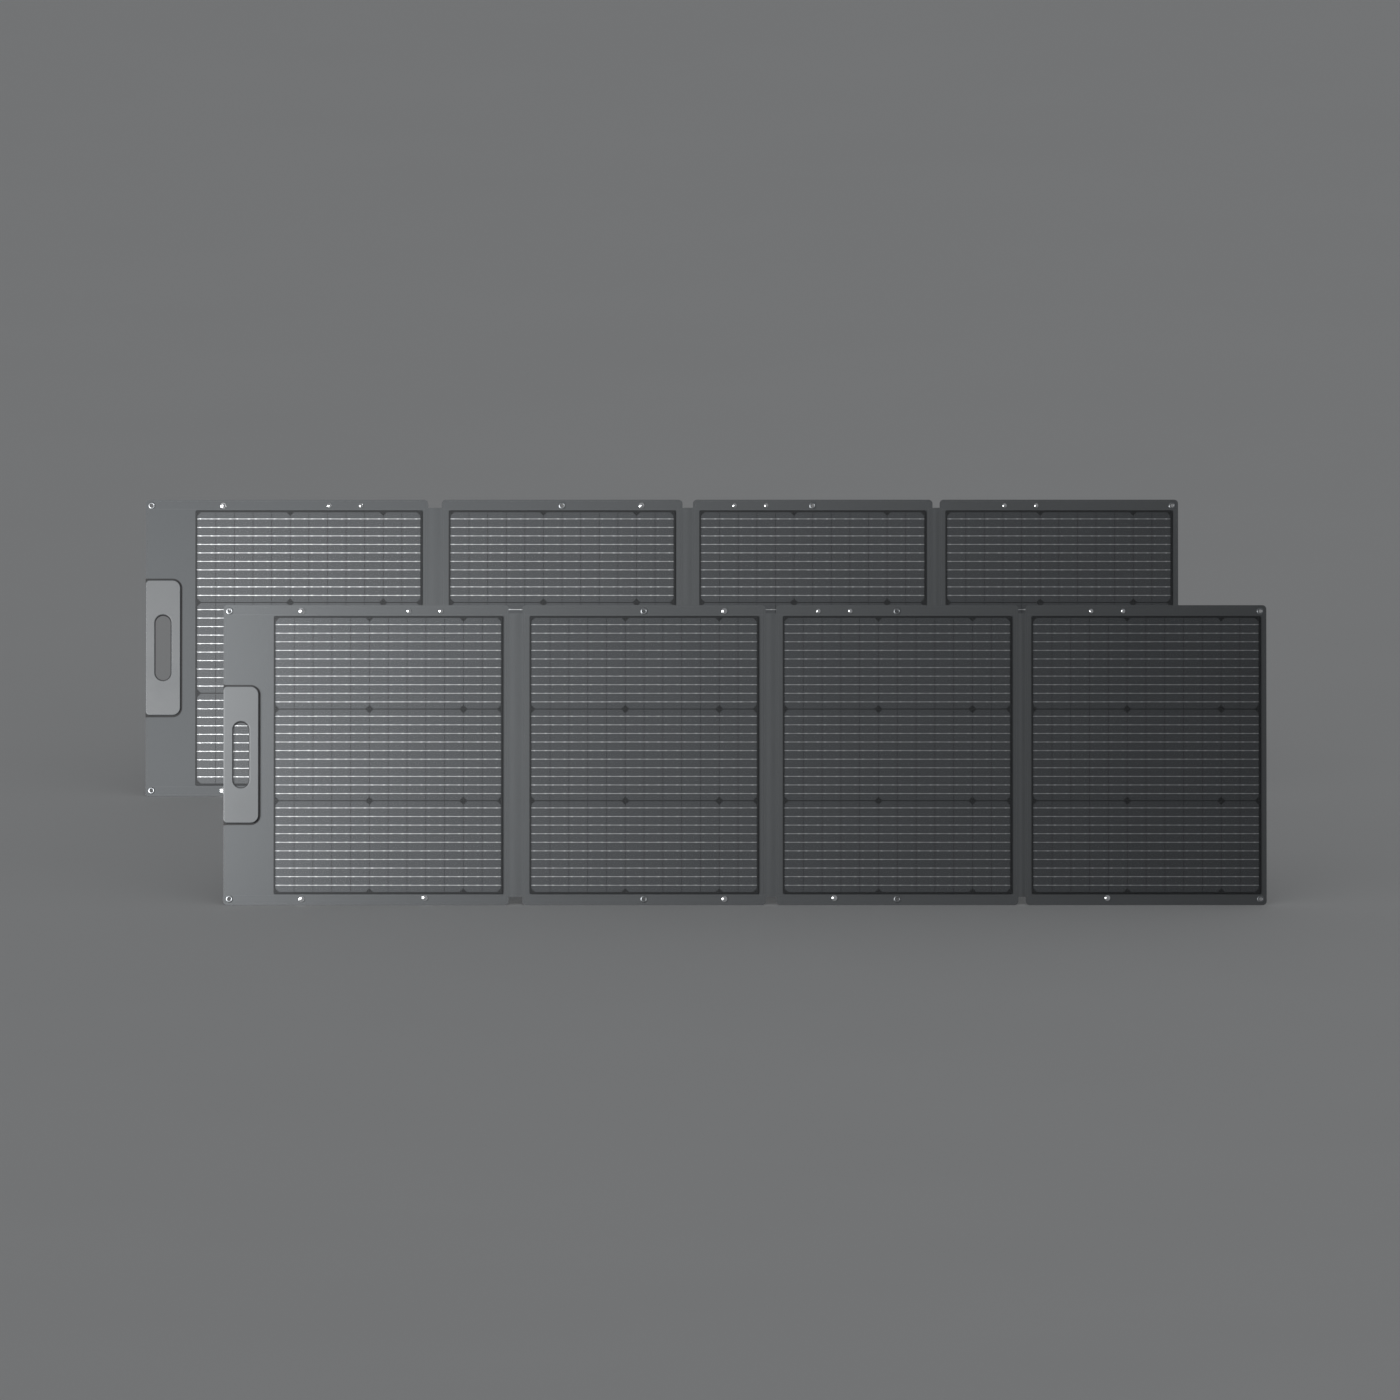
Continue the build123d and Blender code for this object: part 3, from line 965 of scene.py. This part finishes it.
(strapRun, strapEnds), tabRun = strapPath(), tabPath()
for leaf in standLeaves:
    x, body, node = standMiddle[leaf], f"leaf_{leaf}", f"stand_{leaf}"
    install(shift(standBoard(), x), f"standBoard{leaf}", node, "standCloth", [node])
    install(shift(standStitches(), x), f"standStitches{leaf}", node, "thread")
    webbing = shift(ribbon(strapRun, strap["width"], strap["thick"], "strap"), x)
    ends = [(x, end.y, end.z) for end in strapEnds]
    install(webbing, f"standStrap{leaf}", body, "webbing", blendTo=node, blendEnds=ends)
    flap = shift(ribbon(tabRun, tab["width"], tab["thick"], "tab", 12), x)
    ends = [(x, hinge.y + tab["bendAbove"], hinge.z), (x, hinge.y - tab["bendBelow"], hinge.z)]
    install(flap, f"standHinge{leaf}", body, "standCloth", blendTo=node, blendEnds=ends)
print("stage: stands made")


# Junction box: lid screws and a gland nut
gland = {
    "nutRadius": 8.6 * mm, "nutLength": 7 * mm, "nutBore": 6.1 * mm, "nutEdge": 0.9 * mm, "sides": 6,
    "proud": 0.2 * mm,
}


def glandNut():
    mount = next(item for item in frame["record"]["mounts"] if item["name"] == "front_gland")
    mouth = flatPoint(mount["pos_m"])
    lowEnd = mouth.y - mount["dims"]["length_mm"] * mm / 2
    nut = drum(gland["nutRadius"], gland["nutLength"], sides=gland["sides"])
    selectWhere(nut, edgeTest=isRim)
    bpy.ops.mesh.bevel(offset=gland["nutEdge"], segments=2, affect="EDGES")
    done()
    cut(nut, [drum(gland["nutBore"], 3 * gland["nutLength"])])
    nut.matrix_world = Matrix.Rotation(math.pi / 2, 4, "X")
    settle(nut)
    return shift(nut, mouth.x, lowEnd + gland["nutLength"] / 2 + gland["proud"], mouth.z)


lidCorners = [flatPoint(corner.co) for corner in frame["nodes"]["front_junction_lid"].data.vertices]
acrossLid, upLid = (
    (min(corner[axis] for corner in lidCorners) + inset, max(corner[axis] for corner in lidCorners) - inset)
    for axis in (0, 1))
lidScrew = screwPiece(shellBack("junction_lid"), -1)
lidPlaces = [(x, y) for x in acrossLid for y in upLid]
install(placed(lidScrew, lidPlaces, "lidScrews"), "lidScrews", "leaf_2", "eyelet")
bpy.data.objects.remove(lidScrew)
install(glandNut(), "glandNut", "leaf_2", "box")
print("stage: junction box made")


# Finishes of the solids that show as they are
shown = {"board": "board", "handle": "handle", "junction": "box"}
for name, node in frame["nodes"].items():
    kind = name.split("_")[1]
    node.data.materials.clear()
    node.data.materials.append(finishes[shown.get(kind, "canvas")])


# Floor, lights and camera
studio = {
    "floorSize": 90.0, "floorColour": (0.80, 0.80, 0.79), "worldColour": (0.95, 0.97, 1.0),
    "worldStrength": 0.22,
}
lamps = {
    "key": {
        "place": (-2.2, -1.7, 0.6), "aim": (-1.3, 0.1, 0.30), "size": 1.0, "power": 22.0, "spread": 100.0},
    "side": {
        "place": (-2.3, -3.6, 1.9), "aim": (-1.0, 0.1, 0.25), "size": 1.4, "power": 31.0, "spread": 80.0},
    "back": {
        "place": (-1.5, 4.2, 2.2), "aim": (0.0, 0.2, 0.25), "size": 2.0, "power": 120.0, "spread": 180.0},
}
view = {
    "lens": 1500.0, "width": 2.8, "target": (-0.0065, 0.0, 0.2832), "unitSpacing": 1200 * mm,
    "rearShowsHigher": 214 * mm,
}

deselect()
bpy.ops.mesh.primitive_plane_add(size=studio["floorSize"])
floor = bpy.context.object
floor.name = "studioFloor"
floorFinish = Finish("floorPaint", studio["floorColour"], Roughness=0.8)
floorFinish.tint(floorFinish.noise(floorFinish.place(), 1.5), 0.98, 1.02)
floor.data.materials.append(floorFinish.material)


def areaLight(name, place, aim, size, power, spread):
    deselect()
    bpy.ops.object.light_add(type="AREA", location=place)
    light = bpy.context.object
    light.name = name + "Light"
    light.data.shape = "DISK"
    light.data.size = size
    light.data.energy = power
    light.data.spread = math.radians(spread)
    light.rotation_euler = (Vector(aim) - Vector(place)).to_track_quat("-Z", "Y").to_euler()
    light.visible_camera = False
    return light


shaded = bpy.data.collections.new("floorShade")  # the lamps light everything but the floor
shaded.objects.link(floor)
shaded.collection_objects[0].light_linking.link_state = "EXCLUDE"
for name, lamp in lamps.items():
    areaLight(name, **lamp).light_linking.receiver_collection = shaded
world = bpy.data.worlds.new("studioWorld")
world.use_nodes = True
sky = world.node_tree.nodes["Background"]
sky.inputs["Color"].default_value = (*studio["worldColour"], 1.0)
sky.inputs["Strength"].default_value = studio["worldStrength"]
bpy.context.scene.world = world
bpy.context.scene.view_settings.view_transform = "Standard"

deselect()                               # a very long lens from far off, so that both units keep one scale
lookDown = math.asin(view["rearShowsHigher"] / view["unitSpacing"])
towards = Vector((0.0, math.cos(lookDown), -math.sin(lookDown)))
bpy.ops.object.camera_add()
camera = bpy.context.object
camera.data.lens = view["lens"]
away = view["width"] * view["lens"] / camera.data.sensor_width
camera.location = Vector(view["target"]) - towards * away
camera.rotation_euler = towards.to_track_quat("-Z", "Y").to_euler()
camera.data.clip_end = 2 * away
bpy.context.scene.camera = camera
print("stage: studio made")
